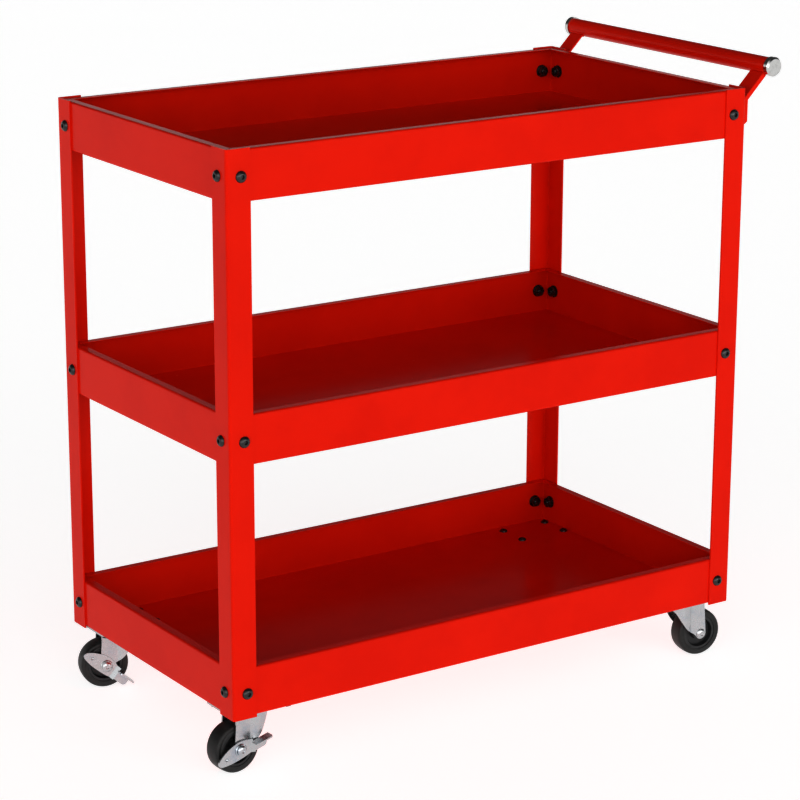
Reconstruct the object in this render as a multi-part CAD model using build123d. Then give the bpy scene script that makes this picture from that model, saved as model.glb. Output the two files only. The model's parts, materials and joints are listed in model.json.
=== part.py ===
from build123d import *
import math
import os

# Rolling service cart: three sheet-steel trays bolted between four angle posts, a tube
# handle at one end and four swivel casters, two of them with side brakes.
# Millimetres. +Z is up, +X points to the handle end, and the origin is on the floor, midway
# between the four posts.
# "Rear" is the handle end (+X), "front" the braked end (-X), "left" is -Y.

# ---------------------------------------------------------------- frame
LENGTH = 762.0           # over the posts, along X
WIDTH = 410.0            # over the posts, along Y
POST_T = 2.0             # sheet thickness of a post
POST_FLANGE = 32.0       # width of each flange of a post
POST_HEIGHT = 688.0
POST_OUTER_R = 3.5       # outside of the post's bend
POST_DROP = 2.0          # how far a post reaches below the bottom tray

# ---------------------------------------------------------------- trays
TRAY_T = 1.0
TRAY_WALL = 61.0         # outside height of a tray
TRAY_BEND_R = 2.6        # outside of the tray's bends
TRAY_INNER_R = TRAY_BEND_R - TRAY_T
TRAY_PITCH = 311.75      # from one tray to the next
LIP = 12.0               # width of the rim that is folded inwards
LIP_SEAM = 0.8           # gap between two lips at a corner

# ---------------------------------------------------------------- bolts of the frame
BOLT_R = 4.0
BOLT_HOLE_R = 4.3
BOLT_HEAD_R = 7.0
BOLT_HEAD_H = 4.0
BOLT_SOCKET_AF = 5.0     # across the flats of the hexagon socket
BOLT_SOCKET_DEPTH = 2.2
BOLT_FROM_CORNER = 19.5
BOLT_UP_WALL = 30.0      # above the tray's underside
NUT_AF = 13.0
NUT_H = 6.5
NUT_FLANGE_R = 8.4
NUT_FLANGE_H = 1.3
THREAD_PAST_NUT = 1.6
FIT_GAP = 0.05           # radial clearance of a bolt in its nut, of a wheel on its bush

# ---------------------------------------------------------------- handle
TUBE_R = 11.0
TUBE_T = 1.3
TUBE_LENGTH = WIDTH
TUBE_OUT = 39.0          # tube's centre line beyond the posts
TUBE_UP = 24.0           # tube's centre line above the posts' tops
PLUG_R = 12.5
PLUG_BAND = 5.8
PLUG_FACE_R = 10.2
PLUG_CONE = 2.6
PLUG_SPIGOT = 14.0
BRACKET_T = 2.2
BRACKET_W = 25.0         # along Y
BRACKET_FLANGE = 6.0     # depth of the stiffening flange, sheet included
BRACKET_INSET = 3.4      # from the post's side to the flange
BRACKET_LEG = 47.0       # from the post's top to the leg's lower end
BRACKET_KNEE = TUBE_UP - TUBE_OUT + BRACKET_T / 2   # knee relative to the post's top, for 45 degrees
BRACKET_CHAMFER = 3.0

# ---------------------------------------------------------------- casters
SWIVEL_IN_X = 49.5       # swivel axis from the end of the cart
SWIVEL_IN_Y = 43.0       # swivel axis from the side of the cart
WHEEL_R = 31.75
WHEEL_W = 24.0
TRAIL = 27.8             # wheel axle behind the swivel axis
CASTER_HEIGHT = 83.0
PLATE_L = 92.0
PLATE_W = 64.0
PLATE_T = 2.2
PLATE_CORNER_R = 7.0
PLATE_HOLES_X = 73.0
PLATE_HOLES_Y = 45.0
PLATE_BOLT_R = 3.0
PLATE_HOLE_R = 3.3
PLATE_HEAD_R = 5.6
PLATE_HEAD_H = 3.2
PLATE_SOCKET_AF = 4.0
PLATE_SOCKET_DEPTH = 1.8
PLATE_NUT_AF = 10.0
PLATE_NUT_H = 4.0
PLATE_BOLT_END = 0.6     # how far a caster bolt reaches past its nut
RACE_R = 18.5            # boss under the plate that carries the ball race
RACE_H = 1.2
BALL_R = 1.9
BALL_CIRCLE_R = 14.5
BALL_COUNT = 16
BALL_GAP = 0.3
CROWN_R = 19.5           # round top of the fork
CROWN_TOP = 77.2
FORK_T = 2.2
FORK_IN = 13.4           # half the space between the legs
FORK_EYE_R = 7.5         # round end of a leg about the axle
FORK_CONCAVE_R = 6.0     # where the round crown runs into the flat legs
FORK_TOP_R = 1.8
FORK_EDGE = [(-8.5, 61.5), (0.0, 47.0), (8.5, 38.0)]   # raked lower edge of the legs, side view
KINGPIN_R = 5.0
KINGPIN_GAP = 0.3
KINGPIN_HEAD_R = 9.0
KINGPIN_HEAD_H = 3.2
AXLE_R = 4.0
BUSH_R = 6.0
AXLE_HEAD_R = 6.4
AXLE_HEAD_H = 3.0
AXLE_NUT_AF = 12.0
AXLE_NUT_H = 5.0
HUB_R = 23.0             # plastic centre of the wheel, inside the rubber tyre
HUB_BOSS_R = 10.5
HUB_WEB_T = 9.0
HUB_RIM_R = 19.5
TREAD_CROWN = 1.0
TYRE_EDGE_R = 2.5
TYRE_GROOVE_DEPTH = 0.8

# ---------------------------------------------------------------- brake levers
LEVER_T = 2.0
LEVER_GAP = 0.3
LEVER_HOLE_R = AXLE_R + 0.08
LEVER_BOSS_R = 8.2
LEVER_BOSS_H = 1.6
LEVER_RELEASED = 14.0    # pedal above the level, braked end of its travel is LEVER_TRAVEL lower
LEVER_TRAVEL = 55.0
LEVER_END = 34.0         # rounded tip, from the axle
LEVER_TOP = 11.0         # upper edge over the axle
DIMPLE_AT = (22.0, -2.5)
DIMPLE_R = 2.4
STEP_FROM = 12.0         # the plate steps outwards here, clear of the fork's crown
STEP_TO = 17.0
STEP_OUT = 4.2
PEDAL_TO = 35.0          # end of the pedal's plate
PEDAL_TOP = 5.0          # level of the tread over the axle when the lever is level
PEDAL_LOW = -8.0
PEDAL_CORNER_R = 5.0
TREAD_LENGTH = 24.0
TREAD_OUT = 12.0         # width of the tread, folded outwards from the plate's upper edge

# Derived levels and places
TRAY_BOTTOMS = [CASTER_HEIGHT + i * TRAY_PITCH for i in range(3)]
TRAY_NAMES = ("bottom", "middle", "top")
POST_BOTTOM = CASTER_HEIGHT - POST_DROP
POST_TOP = POST_BOTTOM + POST_HEIGHT
TUBE_Z = POST_TOP + TUBE_UP
SWIVEL_X = LENGTH / 2 - SWIVEL_IN_X
SWIVEL_Y = WIDTH / 2 - SWIVEL_IN_Y
FORK_OUT = FORK_IN + FORK_T

# Each corner: name, side along X, side along Y, where its caster trails to (degrees from +X),
# and its brake lever's turn from level, or None for a caster without a brake.
CORNERS = (
    ("front_left", -1, -1, 184.0, LEVER_RELEASED),
    ("front_right", -1, 1, 167.0, LEVER_RELEASED - LEVER_TRAVEL),
    ("rear_left", 1, -1, -8.0, None),
    ("rear_right", 1, 1, 12.0, None),
)


def save(shape, name):
    export_step(shape, f"parts/{name}.step")


def prism(points, axis_plane, low, high):
    """Closed outline on a plane, extruded from low to high along the plane's normal."""
    outline = make_face(Polyline(*points, close=True))
    return extrude(axis_plane.offset(low) * outline, high - low)


# ---------------------------------------------------------------- frame parts
def post(side_x, side_y):
    """Angle post with its bend at a corner of the cart and its bolt holes."""
    section = Polyline((0, 0), (POST_FLANGE, 0), (POST_FLANGE, POST_T), (POST_T, POST_T),
                       (POST_T, POST_FLANGE), (0, POST_FLANGE), close=True)
    solid = extrude(make_face(section), POST_HEIGHT)
    for bend_at, radius in ((0, POST_OUTER_R), (POST_T, POST_OUTER_R - POST_T)):
        upright = solid.edges().filter_by(Axis.Z)
        bend = upright.sort_by_distance((bend_at, bend_at, POST_HEIGHT / 2))[0]
        solid = fillet(bend, radius)
    hole = Cylinder(BOLT_HOLE_R, 4 * POST_T)
    for bottom in TRAY_BOTTOMS:
        z = bottom + BOLT_UP_WALL - POST_BOTTOM
        solid -= Pos(BOLT_FROM_CORNER, 0, z) * Rot(90, 0, 0) * hole
        solid -= Pos(0, BOLT_FROM_CORNER, z) * Rot(0, 90, 0) * hole
    if side_x > 0:
        solid = mirror(solid, Plane.YZ)
    if side_y > 0:
        solid = mirror(solid, Plane.XZ)
    return Pos(side_x * LENGTH / 2, side_y * WIDTH / 2, POST_BOTTOM) * solid


def bolt_places(level):
    """Positions and outward directions of the frame bolts of one tray: (x, y, z, nx, ny)."""
    z = TRAY_BOTTOMS[level] + BOLT_UP_WALL
    places = []
    for _, sx, sy, _, _ in CORNERS:
        x, y = sx * LENGTH / 2, sy * WIDTH / 2
        places.append((x, y - sy * BOLT_FROM_CORNER, z, sx, 0))
        places.append((x - sx * BOLT_FROM_CORNER, y, z, 0, sy))
    return places


def facing(nx, ny):
    """Turns +Z to the outward direction (nx, ny)."""
    return Rot(0, 90 * nx, 0) if nx else Rot(-90 * ny, 0, 0)


def caster_holes():
    """Hole centres of the four caster plates, in the posts' frame."""
    holes = []
    for _, sx, sy, _, _ in CORNERS:
        for hx in (-1, 1):
            for hy in (-1, 1):
                holes.append((sx * SWIVEL_X + hx * PLATE_HOLES_X / 2,
                              sy * SWIVEL_Y + hy * PLATE_HOLES_Y / 2))
    return holes


def tray(level):
    """Folded tray: flat deck, four walls and a rim lip folded inwards, mitred at the corners."""
    long_side, short_side = LENGTH - 2 * POST_T, WIDTH - 2 * POST_T
    bottom = Align.MIN
    up = (Align.CENTER, Align.CENTER, bottom)
    shell = fillet(Box(long_side, short_side, TRAY_WALL, align=up).edges(), TRAY_BEND_R)
    cavity = Box(long_side - 2 * TRAY_T, short_side - 2 * TRAY_T, TRAY_WALL - 2 * TRAY_T, align=up)
    shell -= Pos(0, 0, TRAY_T) * fillet(cavity.edges(), TRAY_INNER_R)
    shell -= Pos(0, 0, TRAY_WALL / 2) * Box(long_side - 2 * LIP, short_side - 2 * LIP, TRAY_WALL, align=up)
    seam_length = 2 * LIP
    for _, sx, sy, _, _ in CORNERS:
        seam = Rot(0, 0, 45 * sx * sy) * Box(seam_length, LIP_SEAM, TRAY_WALL / 4)
        at = (sx * (long_side / 2 - LIP / 2 - TRAY_BEND_R), sy * (short_side / 2 - LIP / 2 - TRAY_BEND_R))
        shell -= Pos(at[0], at[1], TRAY_WALL) * seam
    shell = Pos(0, 0, TRAY_BOTTOMS[level]) * shell
    for x, y, z, nx, ny in bolt_places(level):
        shell -= Pos(x, y, z) * facing(nx, ny) * Cylinder(BOLT_HOLE_R, 8 * POST_T)
    if level == 0:
        for x, y in caster_holes():
            shell -= Pos(x, y, TRAY_BOTTOMS[0]) * Cylinder(PLATE_HOLE_R, 4 * TRAY_T)
    return shell


def hexagon(across_flats, height):
    """Hexagonal prism on the XY plane."""
    return extrude(RegularPolygon(across_flats / 2, 6, major_radius=False), height)


def button_bolt(radius, head_radius, head_height, socket_af, socket_depth, grip):
    """Round-headed socket bolt: head above Z = 0, shank of this length below it."""
    crown = head_radius * 0.45
    head = Polyline((0, 0), (head_radius, 0), (head_radius, head_height * 0.18))
    dome = ThreePointArc((head_radius, head_height * 0.18), (head_radius * 0.8, head_height * 0.75),
                         (crown, head_height))
    top = Polyline((crown, head_height), (0, head_height), (0, 0))
    solid = revolve(make_face(Plane.XZ * (head + dome + top)), Axis.Z)
    solid -= Pos(0, 0, head_height - socket_depth) * hexagon(socket_af, socket_depth + 1)
    shank = Cylinder(radius, grip, align=(Align.CENTER, Align.CENTER, Align.MAX))
    return solid + chamfer(shank.edges().sort_by(Axis.Z)[0], radius * 0.15)


def flange_nut():
    """Hexagon nut with a washer flange, its seat at Z = 0 and its body below."""
    body = Pos(0, 0, -NUT_H) * hexagon(NUT_AF, NUT_H)
    body &= Pos(0, 0, -NUT_H) * Cone(NUT_AF / 2 + 0.3, NUT_AF / 2 + NUT_H, NUT_H,
                                    align=(Align.CENTER, Align.CENTER, Align.MIN))
    body += Cylinder(NUT_FLANGE_R, NUT_FLANGE_H, align=(Align.CENTER, Align.CENTER, Align.MAX))
    return body - Cylinder(BOLT_R + FIT_GAP, 4 * NUT_H)


def has_bracket(level, x, nx):
    """True where a handle bracket's leg lies under a frame bolt's head."""
    return level == 2 and x > 0 and nx > 0


def frame_bolts(level):
    """The eight bolts that hold one tray to the posts, as separate solids."""
    bolts = []
    for x, y, z, nx, ny in bolt_places(level):
        packed = BRACKET_T if has_bracket(level, x, nx) else 0.0
        grip = packed + POST_T + TRAY_T + NUT_H + THREAD_PAST_NUT
        bolt = button_bolt(BOLT_R, BOLT_HEAD_R, BOLT_HEAD_H, BOLT_SOCKET_AF, BOLT_SOCKET_DEPTH, grip)
        bolts.append(Pos(x + nx * packed, y + ny * packed, z) * facing(nx, ny) * bolt)
    return bolts


def frame_nuts(level):
    """The nuts of one tray's bolts, inside the tray."""
    inside = POST_T + TRAY_T
    nuts = []
    for x, y, z, nx, ny in bolt_places(level):
        nuts.append(Pos(x - nx * inside, y - ny * inside, z) * facing(nx, ny) * flange_nut())
    return nuts


# ---------------------------------------------------------------- handle parts
def along_y(shape):
    """Turns a shape made about Z so that its axis lies along +Y."""
    return Rot(-90, 0, 0) * shape


def handle_tube():
    tube = Cylinder(TUBE_R, TUBE_LENGTH) - Cylinder(TUBE_R - TUBE_T, TUBE_LENGTH)
    return Pos(LENGTH / 2 + TUBE_OUT, 0, TUBE_Z) * along_y(tube)


def handle_plug(side_y):
    """Turned end plug: a spigot in the tube, a band over its end and a cone."""
    spigot_r = TUBE_R - TUBE_T
    tip = PLUG_BAND + PLUG_CONE
    outline = Polyline((0, -PLUG_SPIGOT), (spigot_r, -PLUG_SPIGOT), (spigot_r, 0), (PLUG_R, 0),
                       (PLUG_R, PLUG_BAND), (PLUG_FACE_R, tip), (0, tip), close=True)
    plug = revolve(make_face(Plane.XZ * outline), Axis.Z)
    turn = Rot(-90 * side_y, 0, 0)
    return Pos(LENGTH / 2 + TUBE_OUT, side_y * TUBE_LENGTH / 2, TUBE_Z) * turn * plug


def bracket_line(offset, foot, reach):
    """Three points of the bracket's side view, this far outside the post's face: foot, knee, arm end."""
    knee_x, knee_z = LENGTH / 2 + offset, POST_TOP + BRACKET_KNEE - offset * math.tan(math.radians(22.5))
    arm, aside = reach * math.sqrt(0.5), offset * math.sqrt(0.5)
    arm_end = (LENGTH / 2 + arm + aside, POST_TOP + BRACKET_KNEE + arm - aside)
    return [(LENGTH / 2 + offset, POST_TOP - foot), (knee_x, knee_z), arm_end]


def handle_bracket(side_y):
    """Bent strap from the post's outer face up to the tube, with a stiffening flange outboard."""
    reach = math.hypot(TUBE_OUT, TUBE_UP - BRACKET_KNEE) - TUBE_R + BRACKET_T
    inner = bracket_line(0, BRACKET_LEG, reach)
    outer = bracket_line(BRACKET_T, BRACKET_LEG, reach)
    edge = bracket_line(BRACKET_FLANGE, BRACKET_LEG - BRACKET_CHAMFER, reach - BRACKET_CHAMFER)
    sheet_outline = inner + outer[::-1]
    flange_outline = inner + [outer[2]] + edge[::-1] + [outer[0]]
    outboard = WIDTH / 2 - BRACKET_INSET
    strap = prism(sheet_outline, Plane.XZ, -outboard, BRACKET_W - outboard)
    flange = prism(flange_outline, Plane.XZ, -outboard, BRACKET_T - outboard)
    solid = strap + flange
    z = TRAY_BOTTOMS[2] + BOLT_UP_WALL
    y = WIDTH / 2 - BOLT_FROM_CORNER
    solid -= Pos(LENGTH / 2, y, z) * Rot(0, 90, 0) * Cylinder(BOLT_HOLE_R, 8 * BRACKET_T)
    solid -= Pos(LENGTH / 2 + TUBE_OUT, 0, TUBE_Z) * along_y(Cylinder(TUBE_R, 2 * TUBE_LENGTH))
    return solid if side_y > 0 else mirror(solid, Plane.XZ)


# ---------------------------------------------------------------- caster parts, about the swivel axis
def ball_level():
    """Height of the balls' centres: they lie midway between the crown and the race boss."""
    return (CROWN_TOP + CASTER_HEIGHT - PLATE_T - RACE_H) / 2


def race_groove():
    """Ring to cut from both sides of the ball race."""
    return Pos(0, 0, ball_level()) * Torus(BALL_CIRCLE_R, BALL_R + BALL_GAP)


def caster_plate():
    """Mounting plate with four bolt holes, the race boss below and the kingpin's hole."""
    top_down = (Align.CENTER, Align.CENTER, Align.MAX)
    plate = Box(PLATE_L, PLATE_W, PLATE_T, align=top_down)
    plate = fillet(plate.edges().filter_by(Axis.Z), PLATE_CORNER_R)
    plate += Pos(0, 0, -PLATE_T) * Cylinder(RACE_R, RACE_H, align=top_down)
    plate -= Cylinder(KINGPIN_R, 4 * (PLATE_T + RACE_H))
    for hx in (-1, 1):
        for hy in (-1, 1):
            plate -= Pos(hx * PLATE_HOLES_X / 2, hy * PLATE_HOLES_Y / 2) * Cylinder(PLATE_HOLE_R, 4 * PLATE_T)
    return Pos(0, 0, CASTER_HEIGHT) * plate - race_groove()


def caster_balls():
    step = 360 / BALL_COUNT
    return [Rot(0, 0, i * step) * Pos(BALL_CIRCLE_R, 0, ball_level()) * Sphere(BALL_R)
            for i in range(BALL_COUNT)]


def kingpin():
    """Rivet that holds the fork up against the balls."""
    fork_under = CROWN_TOP - FORK_T
    head_top = fork_under - KINGPIN_GAP
    top_down = (Align.CENTER, Align.CENTER, Align.MAX)
    length = CASTER_HEIGHT - head_top
    pin = Pos(0, 0, CASTER_HEIGHT) * Cylinder(KINGPIN_R, length, align=top_down)
    head = Cylinder(KINGPIN_HEAD_R, KINGPIN_HEAD_H, align=top_down)
    head = chamfer(head.edges().sort_by(Axis.Z)[0], KINGPIN_HEAD_H / 2)
    return pin + Pos(0, 0, head_top) * head


def fork_footprint(crown, half_width):
    """Outline of the fork seen from above: a round crown that runs into two flat legs."""
    back = TRAIL + 2 * FORK_EYE_R
    shape = Circle(crown) + Pos(back / 2, 0) * Rectangle(back, 2 * half_width)
    x = math.sqrt(crown ** 2 - half_width ** 2)
    corners = shape.vertices().sort_by_distance((x, 0))[:2]
    return fillet(corners, FORK_CONCAVE_R)


def fork():
    """Stamped fork: round crown with a skirt, two flat legs, open towards the trailing end."""
    skirt = extrude(fork_footprint(CROWN_R, FORK_OUT), CROWN_TOP)
    rim = skirt.edges().filter_by_position(Axis.Z, CROWN_TOP, CROWN_TOP)
    skirt = fillet(rim, FORK_TOP_R)
    skirt -= extrude(fork_footprint(CROWN_R - FORK_T, FORK_IN), CROWN_TOP - FORK_T)
    axle_z = WHEEL_R
    lean = math.radians(55)
    eye = (TRAIL - FORK_EYE_R * math.sin(lean), axle_z - FORK_EYE_R * math.cos(lean))
    eye_back = (TRAIL + FORK_EYE_R, axle_z)
    crown_low = (-CROWN_R - 1, CROWN_TOP - 6)
    side = Line((-CROWN_R - 1, CROWN_TOP + 1), crown_low)
    side += Spline(crown_low, *FORK_EDGE, eye, tangents=((1, -0.15), (math.cos(lean), -math.sin(lean))))
    side += ThreePointArc(eye, (TRAIL + FORK_EYE_R * 0.3, axle_z - FORK_EYE_R * math.sqrt(1 - 0.3 ** 2)), eye_back)
    side += Polyline(eye_back, (TRAIL + 4.0, CROWN_TOP + 1), (-CROWN_R - 1, CROWN_TOP + 1))
    keep = extrude(Plane.XZ * make_face(side), 2 * CROWN_R, both=True)
    body = skirt & keep
    body -= Cylinder(KINGPIN_R + KINGPIN_GAP, 4 * CROWN_TOP)
    body -= Pos(TRAIL, 0, axle_z) * along_y(Cylinder(AXLE_R + FIT_GAP, 4 * FORK_OUT))
    return body - race_groove()


def wheel_turned(outline):
    """Revolves an outline of (radius, place along the axle) points about the wheel's axle."""
    solid = revolve(make_face(Plane.XZ * outline), Axis.Z)
    return Pos(TRAIL, 0, WHEEL_R) * along_y(solid)


def tyre():
    """Solid rubber tyre: a lightly crowned tread with round shoulders and a ring on each side."""
    half, edge = WHEEL_W / 2, WHEEL_R - TREAD_CROWN
    groove_in, groove_out = HUB_R + 1.6, HUB_R + 2.8
    outline = Polyline((HUB_R, -half), (groove_in, -half), (groove_in, -half + TYRE_GROOVE_DEPTH),
                       (groove_out, -half + TYRE_GROOVE_DEPTH), (groove_out, -half), (edge - TYRE_EDGE_R, -half))
    outline += ThreePointArc((edge - TYRE_EDGE_R, -half), (edge - 0.3 * TYRE_EDGE_R, -half + 0.3 * TYRE_EDGE_R),
                             (edge, -half + TYRE_EDGE_R))
    outline += ThreePointArc((edge, -half + TYRE_EDGE_R), (WHEEL_R, 0), (edge, half - TYRE_EDGE_R))
    outline += ThreePointArc((edge, half - TYRE_EDGE_R), (edge - 0.3 * TYRE_EDGE_R, half - 0.3 * TYRE_EDGE_R),
                             (edge - TYRE_EDGE_R, half))
    outline += Polyline((edge - TYRE_EDGE_R, half), (groove_out, half), (groove_out, half - TYRE_GROOVE_DEPTH),
                        (groove_in, half - TYRE_GROOVE_DEPTH), (groove_in, half), (HUB_R, half), (HUB_R, -half))
    return wheel_turned(outline)


def hub():
    """Moulded wheel centre: boss, thinner web and rim, bored for the bush."""
    half, web = WHEEL_W / 2, HUB_WEB_T / 2
    bore = BUSH_R + FIT_GAP
    points = [(bore, half), (HUB_BOSS_R - 1, half), (HUB_BOSS_R, web), (HUB_RIM_R - 1, web),
              (HUB_RIM_R, half - 1), (HUB_R, half - 1)]
    lower = [(r, -y) for r, y in reversed(points)]
    return wheel_turned(Polyline(*points, *lower, close=True))


def bush():
    """Steel sleeve clamped between the legs, on which the wheel turns."""
    sleeve = Cylinder(BUSH_R, 2 * FORK_IN) - Cylinder(AXLE_R + FIT_GAP, 2 * FORK_IN)
    return Pos(TRAIL, 0, WHEEL_R) * along_y(sleeve)


def brake_stack(braked):
    """Room that the brake lever takes between a leg and the axle's head."""
    return LEVER_T + LEVER_BOSS_H + 2 * LEVER_GAP if braked else 0.0


def axle(braked, side):
    """Axle bolt: domed head on the given side of the fork, threaded end on the other."""
    head_seat = FORK_OUT + brake_stack(braked)
    end = FORK_OUT + AXLE_NUT_H + THREAD_PAST_NUT
    outline = Polyline((0, -end), (AXLE_R - 0.5, -end), (AXLE_R, 0.5 - end), (AXLE_R, head_seat),
                       (AXLE_HEAD_R, head_seat), (AXLE_HEAD_R, head_seat + AXLE_HEAD_H * 0.4))
    outline += ThreePointArc((AXLE_HEAD_R, head_seat + AXLE_HEAD_H * 0.4),
                             (AXLE_HEAD_R * 0.75, head_seat + AXLE_HEAD_H * 0.8),
                             (AXLE_HEAD_R * 0.4, head_seat + AXLE_HEAD_H))
    outline += Polyline((AXLE_HEAD_R * 0.4, head_seat + AXLE_HEAD_H),
                        (AXLE_HEAD_R * 0.3, head_seat + AXLE_HEAD_H * 0.75),
                        (0, head_seat + AXLE_HEAD_H * 0.75), (0, -end))
    bolt = revolve(make_face(Plane.XZ * outline), Axis.Z)
    return Pos(TRAIL, 0, WHEEL_R) * Rot(-90 * side, 0, 0) * bolt


def axle_nut(side):
    """Thin nut on the axle's threaded end."""
    nut = hexagon(AXLE_NUT_AF, AXLE_NUT_H) - Cylinder(AXLE_R + FIT_GAP, 4 * AXLE_NUT_H)
    nut = Pos(0, 0, -FORK_OUT - AXLE_NUT_H) * nut
    return Pos(TRAIL, 0, WHEEL_R) * Rot(-90 * side, 0, 0) * nut


def brake_lever(side, turn):
    """Side brake: a curved plate that pivots on the axle and steps outwards to a foot pedal.

    In its own plane the tip points to the trailing side and the pedal to the leading side.
    """
    top_end, low_end = (-STEP_FROM, LEVER_TOP - 2.5), (-STEP_FROM, 1.5 - LEVER_TOP)
    tip_top, tip_low = (LEVER_END - 2, 0.0), (LEVER_END - 3, -8.5)
    top = Spline(tip_top, (20.0, 7.0), (0.0, LEVER_TOP), top_end, tangents=((-1, 0.9), (-1, -0.4)))
    low = Spline(low_end, (0.0, -LEVER_TOP), (16.0, -LEVER_TOP), tip_low, tangents=((1, -0.3), (1, 0.3)))
    tip = ThreePointArc(tip_low, (LEVER_END, -4.5), tip_top)
    plate = extrude(make_face(top + Line(top_end, low_end) + low + tip), LEVER_T)
    step = prism([(-STEP_FROM + 1, 0), (-STEP_FROM, 0), (-STEP_TO, STEP_OUT), (-STEP_TO, STEP_OUT + LEVER_T),
                  (-STEP_FROM, LEVER_T), (-STEP_FROM + 1, LEVER_T)], Plane.XZ, -top_end[1], -low_end[1])
    pedal = Pos(-STEP_TO, PEDAL_LOW, STEP_OUT) * Box(PEDAL_TO - STEP_TO, PEDAL_TOP - PEDAL_LOW, LEVER_T,
                                                     align=(Align.MAX, Align.MIN, Align.MIN))
    pedal = fillet(pedal.edges().filter_by(Axis.Z).sort_by_distance((-PEDAL_TO, PEDAL_LOW))[0], PEDAL_CORNER_R)
    tread = Pos(-STEP_TO + 1, PEDAL_TOP, STEP_OUT) * Box(TREAD_LENGTH, LEVER_T, TREAD_OUT,
                                                         align=(Align.MAX, Align.MAX, Align.MIN))
    outer_corners = tread.edges().filter_by(Axis.Y).group_by(Axis.Z)[-1]
    solid = plate + step + pedal + fillet(outer_corners, TREAD_OUT / 4)
    boss = Cylinder(LEVER_BOSS_R, LEVER_BOSS_H, align=(Align.CENTER, Align.CENTER, Align.MIN))
    boss = chamfer(boss.edges().sort_by(Axis.Z)[-1], LEVER_BOSS_H * 0.6)
    solid += Pos(0, 0, LEVER_T) * boss
    solid -= Pos(DIMPLE_AT[0], DIMPLE_AT[1], LEVER_T + DIMPLE_R / 3) * Sphere(DIMPLE_R)
    solid -= Cylinder(LEVER_HOLE_R, 8 * LEVER_T)
    solid = Rot(0, 0, -turn) * solid
    upright = Pos(TRAIL, 0, WHEEL_R) * Rot(90, 0, 0) * Pos(0, 0, FORK_OUT + LEVER_GAP) * solid
    return upright if side < 0 else mirror(upright, Plane.XZ)


def caster_fixings():
    """Bolts and nuts of the four caster plates, as two lists of solids."""
    stack = TRAY_T + PLATE_T
    grip = stack + PLATE_NUT_H + PLATE_BOLT_END
    bolt = button_bolt(PLATE_BOLT_R, PLATE_HEAD_R, PLATE_HEAD_H, PLATE_SOCKET_AF, PLATE_SOCKET_DEPTH, grip)
    nut = Pos(0, 0, -stack - PLATE_NUT_H) * hexagon(PLATE_NUT_AF, PLATE_NUT_H)
    nut -= Cylinder(PLATE_BOLT_R + FIT_GAP, 8 * PLATE_NUT_H)
    deck = TRAY_BOTTOMS[0] + TRAY_T
    return ([Pos(x, y, deck) * bolt for x, y in caster_holes()],
            [Pos(x, y, deck) * nut for x, y in caster_holes()])


def save_caster(name, side_x, side_y, angle, lever_turn):
    """Writes the nodes of one caster, its fork trailing at this angle."""
    fixed = Pos(side_x * SWIVEL_X, side_y * SWIVEL_Y, 0)
    turned = fixed * Rot(0, 0, angle)
    braked = lever_turn is not None
    outboard = side_of_head(side_x)
    save(fixed * caster_plate(), f"caster_plate_{name}")
    save(fixed * Compound(caster_balls()), f"caster_balls_{name}")
    save(fixed * kingpin(), f"kingpin_{name}")
    save(turned * fork(), f"caster_fork_{name}")
    save(turned * bush(), f"wheel_bush_{name}")
    save(turned * axle(braked, outboard), f"wheel_axle_{name}")
    save(turned * axle_nut(outboard), f"axle_nut_{name}")
    save(turned * tyre(), f"wheel_tyre_{name}")
    save(turned * hub(), f"wheel_hub_{name}")
    if braked:
        save(turned * brake_lever(outboard, lever_turn), f"brake_lever_{name}")


def side_of_head(side_x):
    """Side of the fork, in its own frame, that faces the cart's left: head and lever are there."""
    return 1 if side_x < 0 else -1


def main():
    os.makedirs("parts", exist_ok=True)
    for name, sx, sy, angle, lever_turn in CORNERS:
        save(post(sx, sy), f"post_{name}")
        save_caster(name, sx, sy, angle, lever_turn)
    for level, name in enumerate(TRAY_NAMES):
        save(tray(level), f"tray_{name}")
        save(Compound(frame_bolts(level)), f"frame_bolts_{name}")
        save(Compound(frame_nuts(level)), f"frame_nuts_{name}")
    save(handle_tube(), "handle_tube")
    for side, name in ((-1, "left"), (1, "right")):
        save(handle_plug(side), f"handle_plug_{name}")
        save(handle_bracket(side), f"handle_bracket_{name}")
    bolts, nuts = caster_fixings()
    save(Compound(bolts), "caster_bolts")
    save(Compound(nuts), "caster_nuts")


main()
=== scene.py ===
"""Rolling service cart: finishes, tyres, weld beads, light and camera around the fixed frame."""

import json
import logging
import math
from dataclasses import dataclass
from enum import Enum
from typing import Any, Callable, Sequence

import bpy
from mathutils import Matrix, Vector


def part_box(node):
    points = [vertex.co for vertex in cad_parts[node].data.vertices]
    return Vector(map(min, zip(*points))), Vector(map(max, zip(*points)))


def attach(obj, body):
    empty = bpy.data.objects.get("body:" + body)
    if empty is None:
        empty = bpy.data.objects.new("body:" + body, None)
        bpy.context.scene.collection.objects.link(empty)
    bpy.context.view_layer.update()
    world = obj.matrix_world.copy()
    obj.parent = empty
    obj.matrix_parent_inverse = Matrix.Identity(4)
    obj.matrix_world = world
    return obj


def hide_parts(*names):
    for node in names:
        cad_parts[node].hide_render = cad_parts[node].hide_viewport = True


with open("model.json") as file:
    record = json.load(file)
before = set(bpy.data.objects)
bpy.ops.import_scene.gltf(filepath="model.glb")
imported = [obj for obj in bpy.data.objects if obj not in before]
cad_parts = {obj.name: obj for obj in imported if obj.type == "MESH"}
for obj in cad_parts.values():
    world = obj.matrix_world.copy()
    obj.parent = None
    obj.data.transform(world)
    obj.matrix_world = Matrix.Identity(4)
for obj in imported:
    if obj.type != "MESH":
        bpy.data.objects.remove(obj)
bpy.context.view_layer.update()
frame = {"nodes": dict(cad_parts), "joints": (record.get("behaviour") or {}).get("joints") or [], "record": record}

log = logging.getLogger("service_cart")
MM = 0.001
Number = float | int
Colour = tuple[float, float, float]


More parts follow.
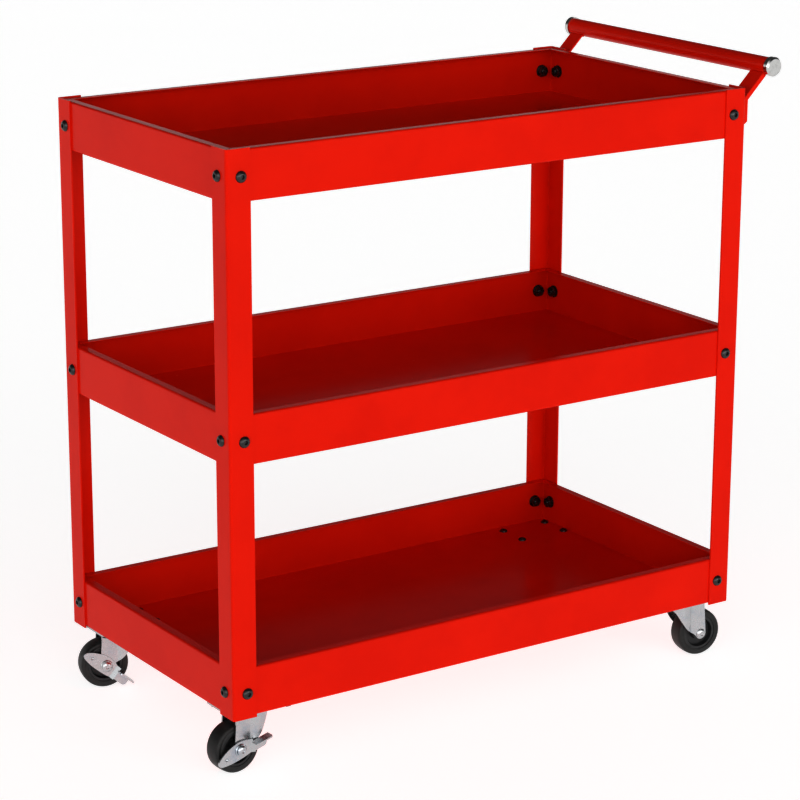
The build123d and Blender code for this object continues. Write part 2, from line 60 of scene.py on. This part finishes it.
# ---------------------------------------------------------------- shader building
class Signal:
    """A number that varies over a surface; arithmetic on it adds Math nodes."""

    def __init__(self, paint: "NodeSheet", socket: bpy.types.NodeSocket) -> None:
        """Wraps an output socket.

        Args:
            paint: The sheet whose nodes the arithmetic is added to.
            socket: The output socket that carries the number.
        """
        self.paint = paint
        self.socket = socket

    def _math(self, operation: str, *values: "Signal | Number") -> "Signal":
        """Adds one Math node.

        Args:
            operation: The Math node's operation.
            values: Its inputs, in order.

        Returns:
            The node's result.
        """
        made = self.paint.node("ShaderNodeMath", {"operation": operation}, dict(enumerate(values)))
        return Signal(self.paint, made.outputs[0])

    def __add__(self, other: "Signal | Number") -> "Signal":
        """Sum."""
        return self._math("ADD", self, other)

    def __radd__(self, other: Number) -> "Signal":
        """Sum, with the plain number first."""
        return self._math("ADD", other, self)

    def __sub__(self, other: "Signal | Number") -> "Signal":
        """Difference."""
        return self._math("SUBTRACT", self, other)

    def __rsub__(self, other: Number) -> "Signal":
        """Difference, with the plain number first."""
        return self._math("SUBTRACT", other, self)

    def __mul__(self, other: "Signal | Number") -> "Signal":
        """Product."""
        return self._math("MULTIPLY", self, other)

    def __rmul__(self, other: Number) -> "Signal":
        """Product, with the plain number first."""
        return self._math("MULTIPLY", other, self)

    def step(self, low: float, high: float) -> "Signal":
        """Smooth rise from 0 to 1.

        Args:
            low: The value that gives 0.
            high: The value that gives 1.

        Returns:
            The eased value.
        """
        made = self.paint.node("ShaderNodeMapRange", {"interpolation_type": "SMOOTHSTEP"},
                               {"Value": self, "From Min": low, "From Max": high})
        return Signal(self.paint, made.outputs["Result"])


class NodeSheet:
    """A node tree that is built up node by node."""

    def __init__(self, tree: bpy.types.NodeTree) -> None:
        """Starts with an empty tree.

        Args:
            tree: The tree, which is cleared.
        """
        self.tree = tree
        self.tree.nodes.clear()

    def feed(self, socket: bpy.types.NodeSocket, value: Any) -> None:
        """Gives an input its value or link.

        Args:
            socket: The input.
            value: A Signal, an output socket, a number or a colour.
        """
        if isinstance(value, Signal):
            value = value.socket
        if isinstance(value, bpy.types.NodeSocket):
            self.tree.links.new(value, socket)
        elif isinstance(value, tuple) and socket.type == "RGBA":
            socket.default_value = (*value, 1.0)
        else:
            socket.default_value = value

    def node(self, kind: str, settings: dict[str, Any] | None = None,
             inputs: dict[Any, Any] | None = None) -> bpy.types.Node:
        """Adds a node.

        Args:
            kind: The node's type.
            settings: Its properties, set first.
            inputs: Values or links of its inputs, by name or number.

        Returns:
            The node.
        """
        made = self.tree.nodes.new(kind)
        for name, value in (settings or {}).items():
            setattr(made, name, value)
        for name, value in (inputs or {}).items():
            self.feed(made.inputs[name], value)
        return made


class PaintSheet(NodeSheet):
    """One material and the nodes that make it."""

    def __init__(self, name: str) -> None:
        """Starts an empty material.

        Args:
            name: The material's name.
        """
        self.material = bpy.data.materials.new(name)
        self.material.use_nodes = True
        super().__init__(self.material.node_tree)
        self.surface = self.node("ShaderNodeBsdfPrincipled")
        self.node("ShaderNodeOutputMaterial", {}, {"Surface": self.surface.outputs["BSDF"]})
        self.place = self.node("ShaderNodeTexCoord").outputs["Object"]

    def stretched(self, scale: Sequence[float]) -> bpy.types.NodeSocket:
        """Object coordinates, scaled along each axis.

        Args:
            scale: Factors along X, Y and Z.

        Returns:
            The scaled coordinates.
        """
        return self.node("ShaderNodeMapping", {}, {"Vector": self.place, "Scale": Vector(scale)}).outputs[0]

    def noise(self, scale: float, detail: float = 3.0, roughness: float = 0.5,
              place: bpy.types.NodeSocket | None = None) -> Signal:
        """Cloudy noise from 0 to 1.

        Args:
            scale: Features per metre.
            detail: Octaves.
            roughness: Weight of the finer octaves.
            place: Coordinates, or None for the object's own.

        Returns:
            The noise.
        """
        made = self.node("ShaderNodeTexNoise", {}, {"Vector": place or self.place, "Scale": scale,
                                                    "Detail": detail, "Roughness": roughness})
        return Signal(self, made.outputs["Fac"])

    def cells(self, scale: float) -> Signal:
        """Distance to the nearest of scattered points.

        Args:
            scale: Points per metre.

        Returns:
            The distance, in cells.
        """
        made = self.node("ShaderNodeTexVoronoi", {}, {"Vector": self.place, "Scale": scale})
        return Signal(self, made.outputs["Distance"])

    def upward(self) -> Signal:
        """How far the surface faces up, from -1 to 1."""
        normal = self.node("ShaderNodeNewGeometry").outputs["Normal"]
        return Signal(self, self.node("ShaderNodeSeparateXYZ", {}, {0: normal}).outputs["Z"])

    def blend(self, mask: Signal, low: Any, high: Any) -> bpy.types.NodeSocket:
        """Mixes two colours.

        Args:
            mask: 0 gives low and 1 gives high.
            low: A colour or a colour's socket.
            high: A colour or a colour's socket.

        Returns:
            The mixed colour.
        """
        made = self.node("ShaderNodeMix", {"data_type": "RGBA"})
        for socket, value in ((made.inputs["Factor"], mask), (made.inputs[6], low), (made.inputs[7], high)):
            self.feed(socket, value)
        return made.outputs[2]

    def relief(self, height: Signal, depth: float, strength: float = 1.0) -> None:
        """Gives the surface a fine relief.

        Args:
            height: The relief, from 0 to 1.
            depth: The height of 1, in metres.
            strength: How much of it is felt.
        """
        made = self.node("ShaderNodeBump", {}, {"Height": height, "Distance": depth, "Strength": strength})
        self.feed(self.surface.inputs["Normal"], made.outputs[0])

    def dress(self, **values: Any) -> bpy.types.Material:
        """Sets the surface's inputs.

        Args:
            values: Values by input name, with _ for a space.

        Returns:
            The finished material.
        """
        for name, value in values.items():
            self.feed(self.surface.inputs[name.replace("_", " ")], value)
        return self.material


# ---------------------------------------------------------------- finishes
@dataclass(frozen=True)
class PowderCoat:
    """Bright red powder coat with a faint orange peel and a trace of dust on level faces."""

    red: Colour = (0.68, 0.0150, 0.0030)
    deep_red: Colour = (0.63, 0.0120, 0.0026)
    dust: Colour = (0.52, 0.05, 0.03)
    sheen: Colour = (1.0, 0.62, 0.40)
    gloss: float = 0.12
    roughness: float = 0.20
    peel_per_m: float = 900.0
    peel_depth: float = 0.000012

    def make(self) -> bpy.types.Material:
        """Builds the material."""
        paint = PaintSheet("red_powder_coat")
        drift = paint.noise(7.0, 4.0, 0.6).step(0.35, 0.7)
        colour = paint.blend(drift, self.red, self.deep_red)
        level = paint.upward().step(0.75, 1.0)
        specks = paint.noise(260.0, 5.0, 0.7).step(0.62, 0.75) * paint.noise(9.0).step(0.4, 0.65)
        colour = paint.blend(level * specks * 0.18, colour, self.dust)
        rough = self.roughness + 0.05 * drift + 0.10 * level * specks
        paint.relief(paint.noise(self.peel_per_m, 2.0, 0.4), self.peel_depth, 0.5)
        return paint.dress(Base_Color=colour, Roughness=rough, Specular_IOR_Level=self.gloss,
                           Specular_Tint=self.sheen)


@dataclass(frozen=True)
class ZincPlate:
    """Bright zinc plate with blue and straw tints, rolling marks and dull patches."""

    name: str = "bright_zinc_plate"
    silver: Colour = (0.50, 0.51, 0.52)
    blue: Colour = (0.40, 0.44, 0.49)
    straw: Colour = (0.52, 0.49, 0.43)
    roughness: float = 0.20

    def make(self) -> bpy.types.Material:
        """Builds the material."""
        paint = PaintSheet(self.name)
        tint = paint.noise(45.0, 3.0, 0.6)
        colour = paint.blend(tint.step(0.45, 0.75), self.silver, self.blue)
        colour = paint.blend(paint.noise(28.0, 2.0).step(0.6, 0.8) * 0.5, colour, self.straw)
        marks = paint.noise(1.0, 4.0, 0.7, paint.stretched((2400.0, 2400.0, 160.0)))
        dull = paint.noise(110.0, 5.0, 0.7).step(0.4, 0.75)
        rough = self.roughness + 0.12 * dull + 0.06 * marks
        paint.relief(marks * 0.6 + paint.noise(900.0) * 0.4, 0.00002, 0.5)
        return paint.dress(Base_Color=colour, Roughness=rough, Metallic=1.0)


@dataclass(frozen=True)
class PolishedPlug:
    """Polished plating of the handle's end plugs, with fine turning marks."""

    bright: Colour = (0.62, 0.62, 0.61)
    cloudy: Colour = (0.50, 0.50, 0.49)

    def make(self) -> bpy.types.Material:
        """Builds the material."""
        paint = PaintSheet("polished_plug_metal")
        haze = paint.noise(140.0, 4.0, 0.6).step(0.4, 0.8)
        turning = paint.noise(1.0, 3.0, 0.6, paint.stretched((90.0, 5200.0, 90.0)))
        paint.relief(turning, 0.00001, 0.4)
        return paint.dress(Base_Color=paint.blend(haze, self.bright, self.cloudy),
                           Roughness=0.14 + 0.14 * haze + 0.05 * turning, Metallic=1.0)


@dataclass(frozen=True)
class BlackOxide:
    """Black oxide of the frame bolts, a little brown and worn where a key has turned them."""

    black: Colour = (0.010, 0.010, 0.011)
    brown: Colour = (0.026, 0.021, 0.018)
    roughness: float = 0.20

    def make(self) -> bpy.types.Material:
        """Builds the material."""
        paint = PaintSheet("black_oxide_steel")
        cloud = paint.noise(420.0, 4.0, 0.6).step(0.45, 0.75)
        paint.relief(paint.noise(1600.0, 2.0), 0.00002, 0.5)
        return paint.dress(Base_Color=paint.blend(cloud, self.black, self.brown),
                           Roughness=self.roughness + 0.18 * cloud, Specular_IOR_Level=0.7)


@dataclass(frozen=True)
class TyreRubber:
    """Hard black rubber: fine moulded pits, and floor dust rubbed into the tread."""

    black: Colour = (0.011, 0.011, 0.011)
    grey: Colour = (0.030, 0.029, 0.027)
    dust: Colour = (0.085, 0.080, 0.072)
    roughness: float = 0.42

    def make(self) -> bpy.types.Material:
        """Builds the material."""
        paint = PaintSheet("hard_black_rubber")
        bloom = paint.noise(70.0, 4.0, 0.65).step(0.35, 0.75)
        pits = paint.cells(1500.0).step(0.0, 0.35)
        grit = paint.noise(800.0, 3.0, 0.7).step(0.60, 0.72) * bloom
        colour = paint.blend(bloom * 0.7, self.black, self.grey)
        colour = paint.blend(grit * 0.45, colour, self.dust)
        paint.relief(pits * 0.6 + paint.noise(500.0) * 0.5, 0.00005, 0.6)
        return paint.dress(Base_Color=colour, Roughness=self.roughness + 0.2 * bloom, Specular_IOR_Level=0.45)


@dataclass(frozen=True)
class MouldedHub:
    """Matte black moulded plastic of the wheel centres."""

    black: Colour = (0.013, 0.013, 0.014)
    grey: Colour = (0.028, 0.028, 0.029)

    def make(self) -> bpy.types.Material:
        """Builds the material."""
        paint = PaintSheet("moulded_black_plastic")
        flow = paint.noise(1.0, 4.0, 0.6, paint.stretched((60.0, 60.0, 240.0))).step(0.35, 0.7)
        paint.relief(paint.noise(1100.0, 2.0), 0.00003, 0.5)
        return paint.dress(Base_Color=paint.blend(flow, self.black, self.grey), Roughness=0.38 + 0.15 * flow)


@dataclass(frozen=True)
class StudioFloor:
    """Plain white studio floor, lit from below like a light table."""

    pale: Colour = (0.50, 0.50, 0.50)
    glow: float = 0.82

    def make(self) -> bpy.types.Material:
        """Builds the material."""
        return PaintSheet("pale_studio_floor").dress(
            Base_Color=self.pale, Roughness=0.6, Specular_IOR_Level=0.2,
            Emission_Color=(1.0, 1.0, 1.0), Emission_Strength=self.glow)


class Finish(Enum):
    """The record's material slots and the finish that each one gets."""

    RED_PAINT = PowderCoat()
    BLACK_STEEL = BlackOxide()
    ZINC_STEEL = ZincPlate()
    BEARING_STEEL = ZincPlate("bearing_ball_steel", silver=(0.62, 0.62, 0.63), blue=(0.55, 0.58, 0.62),
                              straw=(0.6, 0.58, 0.55), roughness=0.12)
    POLISHED_METAL = PolishedPlug()
    BLACK_RUBBER = TyreRubber()
    BLACK_PLASTIC = MouldedHub()

    @property
    def slot(self) -> str:
        """The record's slot name."""
        return self.name.lower()


class Wardrobe:
    """Makes each finish once and hands it out."""

    def __init__(self) -> None:
        """Starts with nothing made."""
        self.made: dict[Finish, bpy.types.Material] = {}

    def get(self, finish: Finish) -> bpy.types.Material:
        """The material of a finish.

        Args:
            finish: Which finish.

        Returns:
            Its material, made on first use.
        """
        if finish not in self.made:
            self.made[finish] = finish.value.make()
        return self.made[finish]

    def dress(self, thing: bpy.types.Object, finish: Finish) -> None:
        """Gives an object one finish all over.

        Args:
            thing: A frame node's object or a new piece.
            finish: Its finish.
        """
        thing.data.materials.clear()
        thing.data.materials.append(self.get(finish))


# ---------------------------------------------------------------- modelling helpers
class Bench:
    """Modelling steps that the pieces share."""

    @staticmethod
    def clear() -> None:
        """Deselects everything, in object mode."""
        if bpy.context.object and bpy.context.object.mode != "OBJECT":
            bpy.ops.object.mode_set(mode="OBJECT")
        bpy.ops.object.select_all(action="DESELECT")

    @staticmethod
    def pick(thing: bpy.types.Object, wanted: Callable[[Vector], bool], domain: str = "VERT") -> None:
        """Selects by place and goes to edit mode.

        Args:
            thing: The object.
            wanted: Tells from a vertex's place, or a face's centre, whether it is selected.
            domain: VERT, EDGE or FACE, the select mode that is left on.
        """
        bpy.ops.object.mode_set(mode="EDIT")
        bpy.ops.mesh.select_mode(type="VERT" if domain == "EDGE" else domain)
        bpy.ops.mesh.select_all(action="DESELECT")
        bpy.ops.object.mode_set(mode="OBJECT")
        if domain == "FACE":
            for face in thing.data.polygons:
                face.select = wanted(face.center)
        else:
            for vertex in thing.data.vertices:
                vertex.select = wanted(vertex.co)
        bpy.ops.object.mode_set(mode="EDIT")
        bpy.ops.mesh.select_mode(type=domain)

    @staticmethod
    def settle(thing: bpy.types.Object, name: str, crease_deg: float = 35.0) -> bpy.types.Object:
        """Ends a piece: closed, facing outwards, smooth, with its place in its mesh.

        Args:
            thing: The piece.
            name: Its name.
            crease_deg: Edges sharper than this stay crisp.

        Returns:
            The piece.
        """
        bpy.ops.object.mode_set(mode="EDIT")
        bpy.ops.mesh.select_all(action="SELECT")
        bpy.ops.mesh.remove_doubles(threshold=0.01 * MM)
        bpy.ops.mesh.normals_make_consistent(inside=False)
        bpy.ops.object.mode_set(mode="OBJECT")
        bpy.ops.object.transform_apply(location=True, rotation=True, scale=True)
        bpy.ops.object.shade_smooth_by_angle(angle=math.radians(crease_deg))
        thing.name = thing.data.name = name
        return thing


# ---------------------------------------------------------------- sub-assemblies
@dataclass
class Carcass:
    """The frame's own nodes, which keep their shape and get their finishes."""

    wardrobe: Wardrobe

    def dress_nodes(self) -> None:
        """Gives every frame node the finish of its slot."""
        slots = {finish.slot: finish for finish in Finish}
        for part in frame["record"]["subparts"]:
            self.wardrobe.dress(frame["nodes"][part["node"]], slots[part["material_slot"]])
            log.info("dressed %s in %s", part["node"], part["material_slot"])


@dataclass
class HandleWelds:
    """Beads that join the handle's brackets to its tube."""

    wardrobe: Wardrobe
    bead_r: float = 1.5 * MM
    ripples: int = 13
    ripple_scale: float = 0.82
    sides: int = 10
    start_scale: float = 2.0
    end_scale: float = 0.5
    off_strap: float = math.radians(14.0)
    arm_angle: float = math.radians(225.0)

    def build(self) -> None:
        """Lays two beads at each bracket."""
        low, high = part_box("handle_tube")
        centre = (low + high) / 2
        radius = (high.z - low.z) / 2
        for side in ("left", "right"):
            strap_low, strap_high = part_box(f"handle_bracket_{side}")
            beads = []
            for turn in (-self.off_strap, self.off_strap):
                angle = self.arm_angle + turn
                out = Vector((radius * math.cos(angle), 0.0, radius * math.sin(angle)))
                at = Vector((centre.x, strap_low.y, centre.z)) + out
                beads.append(self.bead(at, strap_high.y - strap_low.y))
            Bench.clear()
            for bead in beads:
                bead.select_set(True)
            bpy.context.view_layer.objects.active = beads[0]
            bpy.ops.object.join()
            piece = Bench.settle(beads[0], f"handle_weld_{side}", 60.0)
            self.wardrobe.dress(piece, Finish.RED_PAINT)
            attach(piece, "frame")
            log.info("laid %s", piece.name)

    def bead(self, start: Vector, length: float) -> bpy.types.Object:
        """One rippled bead along +Y.

        Args:
            start: The middle of its first end.
            length: Its length.

        Returns:
            The bead.
        """
        Bench.clear()
        bpy.ops.mesh.primitive_circle_add(
            vertices=self.sides, radius=self.bead_r / self.start_scale, fill_type="NGON",
            location=start, rotation=(math.radians(90.0), 0.0, 0.0))
        bead = bpy.context.object
        bpy.ops.object.mode_set(mode="EDIT")
        bpy.ops.mesh.select_all(action="SELECT")
        pitch = length / (2 * self.ripples)
        for index in range(2 * self.ripples):
            grow = self.ripple_scale if index % 2 else 1 / self.ripple_scale
            if index == 0:
                grow = self.start_scale
            elif index == 2 * self.ripples - 1:
                grow = self.end_scale
            bpy.ops.mesh.extrude_region_move(TRANSFORM_OT_translate={"value": (0.0, pitch, 0.0)})
            bpy.ops.transform.resize(value=(grow, 1.0, grow))
        bpy.ops.object.mode_set(mode="OBJECT")
        return bead


@dataclass
class Tyre:
    """Solid rubber tyre of one caster, turned from its section."""

    wardrobe: Wardrobe
    corner: str
    crown: float = 1.0 * MM
    shoulder_r: float = 3.2 * MM
    inner_edge_r: float = 0.5 * MM
    ring_margin: float = 1.4 * MM
    ring_depth: float = 0.7 * MM
    hub_ring: float = 8.75 * MM
    steps: int = 96

    def build(self) -> bpy.types.Object:
        """Makes the tyre in place of the frame's plain one.

        Returns:
            The piece.
        """
        joint = next(j for j in frame["joints"] if j["name"] == f"wheel_{self.corner}_spin")
        node = f"wheel_tyre_{self.corner}"
        low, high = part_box(node)
        outer = (high.z - low.z) / 2
        axis = Vector(joint["axis"])
        mesh = frame["nodes"][node].data
        centre = Vector(joint["pos_m"])
        half = max(abs((v.co - centre).dot(axis)) for v in mesh.vertices)
        tyre = self.section(outer, outer - self.hub_ring, half)
        self.turn(tyre, outer, half)
        tyre.rotation_euler = axis.to_track_quat("Z", "Y").to_euler()
        tyre.location = centre
        piece = Bench.settle(tyre, f"tyre_{self.corner}", 40.0)
        self.wardrobe.dress(piece, Finish.BLACK_RUBBER)
        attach(piece, f"wheel_{self.corner}")
        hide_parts(node)
        log.info("turned %s", piece.name)
        return piece

    def section(self, outer: float, inner: float, half: float) -> bpy.types.Object:
        """The closed outline of the tyre's section, in the XZ plane.

        Args:
            outer: The tyre's radius.
            inner: The radius of the hub inside it.
            half: Half the tyre's width.

        Returns:
            The outline, as an object.
        """
        Bench.clear()
        edge = outer - self.crown
        bpy.ops.mesh.primitive_plane_add(size=1.0, rotation=(math.radians(90.0), 0.0, 0.0))
        tyre = bpy.context.object
        tyre.scale = (edge - inner, 2 * half, 1.0)
        tyre.location = ((edge + inner) / 2, 0.0, 0.0)
        bpy.ops.object.transform_apply(location=True, rotation=True, scale=True)
        Bench.pick(tyre, lambda at: True)
        bpy.ops.mesh.delete(type="ONLY_FACE")
        slack = 0.1 * MM
        Bench.pick(tyre, lambda at: at.x > edge - slack, "EDGE")
        bpy.ops.mesh.subdivide(number_cuts=5)
        bpy.ops.object.mode_set(mode="OBJECT")
        rows = sorted({round(v.co.z / MM, 3) for v in tyre.data.vertices if v.co.x > edge - slack})
        for row in rows[1:-1]:
            rise = self.crown * (1.0 - (row * MM / half) ** 2)
            Bench.pick(tyre, lambda at: at.x > edge - slack and abs(at.z - row * MM) < slack)
            bpy.ops.transform.translate(value=(rise, 0.0, 0.0))
            bpy.ops.object.mode_set(mode="OBJECT")
        Bench.pick(tyre, lambda at: abs(at.x - edge) < slack and abs(at.z) > half - slack)
        bpy.ops.mesh.bevel(offset=self.shoulder_r, segments=5, affect="VERTICES")
        Bench.pick(tyre, lambda at: at.x < inner + slack)
        bpy.ops.mesh.bevel(offset=self.inner_edge_r, segments=2, affect="VERTICES")
        return tyre

    def turn(self, tyre: bpy.types.Object, outer: float, half: float) -> None:
        """Spins the section and sinks a ring into each side.

        Args:
            tyre: The section.
            outer: The tyre's radius; not used.
            half: Half the tyre's width.
        """
        Bench.pick(tyre, lambda at: True, "EDGE")
        bpy.ops.mesh.spin(steps=self.steps, angle=math.tau, center=(0.0, 0.0, 0.0), axis=(0.0, 0.0, 1.0))
        bpy.ops.mesh.select_all(action="SELECT")
        bpy.ops.mesh.remove_doubles(threshold=0.01 * MM)
        bpy.ops.mesh.normals_make_consistent(inside=False)
        slack = 0.05 * MM
        for side in (-1, 1):
            Bench.pick(tyre, lambda at: at.z * side > half - slack, "FACE")
            bpy.ops.mesh.inset(thickness=self.ring_margin)
            bpy.ops.transform.translate(value=(0.0, 0.0, -side * self.ring_depth))
        bpy.ops.object.mode_set(mode="OBJECT")


# ---------------------------------------------------------------- studio
@dataclass(frozen=True)
class Softbox:
    """One large area lamp."""

    name: str
    place: tuple[float, float, float]
    size: float
    watts: float

    def hang(self, aim: Vector) -> None:
        """Adds the lamp.

        Args:
            aim: The point that it faces.
        """
        lamp = bpy.data.lights.new(self.name, "AREA")
        lamp.shape = "SQUARE"
        lamp.size = self.size
        lamp.energy = self.watts
        thing = bpy.data.objects.new(self.name, lamp)
        thing.location = self.place
        thing.rotation_euler = (Vector(self.place) - aim).to_track_quat("Z", "Y").to_euler()
        bpy.context.scene.collection.objects.link(thing)


@dataclass
class Studio:
    """Floor, lamps, surroundings and camera."""

    aim: Vector = Vector((-0.0216, -0.0211, 0.3779))
    azimuth_deg: float = -33.89
    elevation_deg: float = 16.01
    roll_deg: float = 0.17
    distance: float = 3.5664
    lens_mm: float = 125.63
    floor_size: float = 40.0
    surround: float = 0.08
    horizon: float = 0.95
    bright_side: tuple[float, float, float] = (-0.48, -0.81, -0.33)
    bright_gain: float = 2.4
    bright_edges: tuple[float, float] = (0.1, 1.0)
    horizon_edges: tuple[float, float] = (0.05, 0.35)
    contrast: float = 0.75
    lamps: tuple[Softbox, ...] = (
        Softbox("front_softbox", (1.0, -3.6, 0.9), 1.4, 14.0),
    )

    def build(self) -> None:
        """Sets up everything around the cart."""
        self.lay_floor()
        self.light()
        self.place_camera()

    def lay_floor(self) -> None:
        """Lays the floor under the wheels."""
        Bench.clear()
        bpy.ops.mesh.primitive_plane_add(size=self.floor_size)
        floor = bpy.context.object
        floor.name = "studio_floor"
        floor.data.materials.append(StudioFloor().make())

    def light(self) -> None:
        """Lights the cart a little from all around, and far more from low down in front."""
        world = bpy.data.worlds.new("white_surround")
        world.use_nodes = True
        sky = NodeSheet(world.node_tree)
        direction = sky.node("ShaderNodeTexCoord").outputs["Generated"]
        facing = sky.node("ShaderNodeVectorMath", {"operation": "DOT_PRODUCT"},
                          {0: direction, 1: Vector(self.bright_side).normalized()})
        height = Signal(sky, sky.node("ShaderNodeSeparateXYZ", {}, {0: direction}).outputs["Z"])
        front = Signal(sky, facing.outputs["Value"]).step(*self.bright_edges)
        low_band = 1 - height.step(*self.horizon_edges)
        strength = self.surround + self.bright_gain * front + self.horizon * low_band
        glow = sky.node("ShaderNodeBackground", {}, {"Color": (1.0, 1.0, 1.0), "Strength": strength})
        sky.node("ShaderNodeOutputWorld", {}, {"Surface": glow.outputs[0]})
        bpy.context.scene.world = world
        for lamp in self.lamps:
            lamp.hang(self.aim)
        view = bpy.context.scene.view_settings
        view.view_transform = "Standard"
        view.gamma = self.contrast

    def place_camera(self) -> None:
        """Puts the camera in front of the cart's near corner."""
        azimuth, elevation = math.radians(self.azimuth_deg), math.radians(self.elevation_deg)
        back = Vector((math.sin(azimuth) * math.cos(elevation), -math.cos(azimuth) * math.cos(elevation),
                       math.sin(elevation)))
        camera = bpy.data.cameras.new("studio_camera")
        camera.lens = self.lens_mm
        camera.clip_end = 100.0
        thing = bpy.data.objects.new("studio_camera", camera)
        turn = back.to_track_quat("Z", "Y").to_matrix() @ roll_matrix(math.radians(self.roll_deg))
        thing.rotation_euler = turn.to_euler()
        thing.location = self.aim + back * self.distance
        bpy.context.scene.collection.objects.link(thing)
        bpy.context.scene.camera = thing


def roll_matrix(angle: float) -> Matrix:
    """A turn about the camera's own line of sight.

    Args:
        angle: The turn, in radians.

    Returns:
        Its 3 by 3 matrix.
    """
    return Matrix.Rotation(angle, 3, "Z")


def main() -> None:
    """Builds and dresses the cart, then the studio."""
    logging.basicConfig(level=logging.INFO)
    wardrobe = Wardrobe()
    Carcass(wardrobe).dress_nodes()
    HandleWelds(wardrobe).build()
    for corner in ("front_left", "front_right", "rear_left", "rear_right"):
        Tyre(wardrobe, corner).build()
    Studio().build()


if __name__ == "__main__":
    main()
